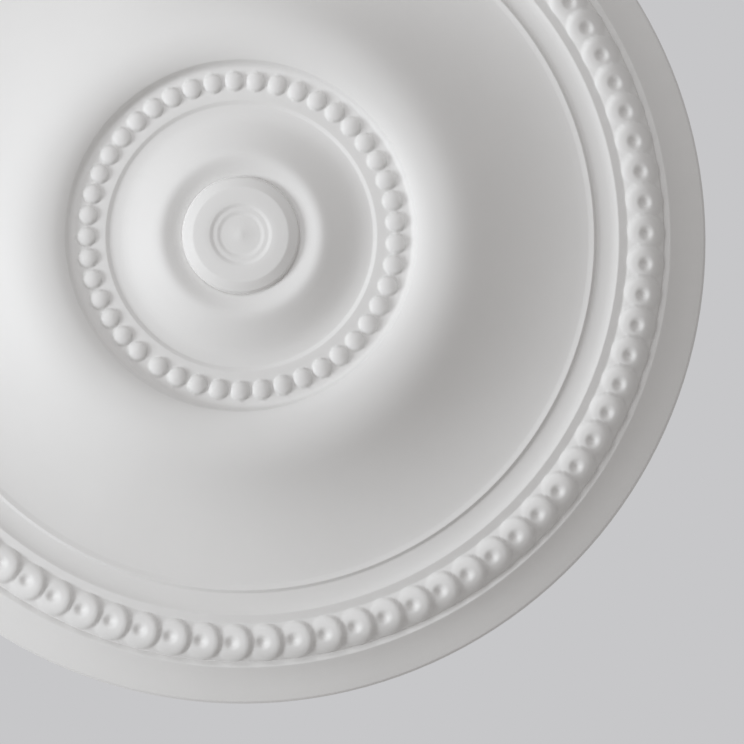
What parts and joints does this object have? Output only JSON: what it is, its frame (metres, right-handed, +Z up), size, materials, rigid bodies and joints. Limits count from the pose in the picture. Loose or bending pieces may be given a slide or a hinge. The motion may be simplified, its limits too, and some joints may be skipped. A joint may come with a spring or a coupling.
{
  "type": "ceiling rose",
  "caption": "Round moulded ceiling rose: stepped centre boss, ogee, ring of pearls, wide bell-shaped sweep and an outer chain of overlapping dimpled discs, flat at the back.",
  "frame": {"origin": "centre of the flat back, where the rose meets the ceiling", "axes": "+Z up into the ceiling, along the rose's axis; the moulded face looks down along -Z; X and Y lie in the ceiling"},
  "size_m": [0.6, 0.6, 0.0642],
  "materials": {
    "moulding": "matte white primed moulding with a soft eggshell sheen"
  },
  "bodies": {
    "root": {"ceiling_rose": "moulding"}
  },
  "joints": []
}
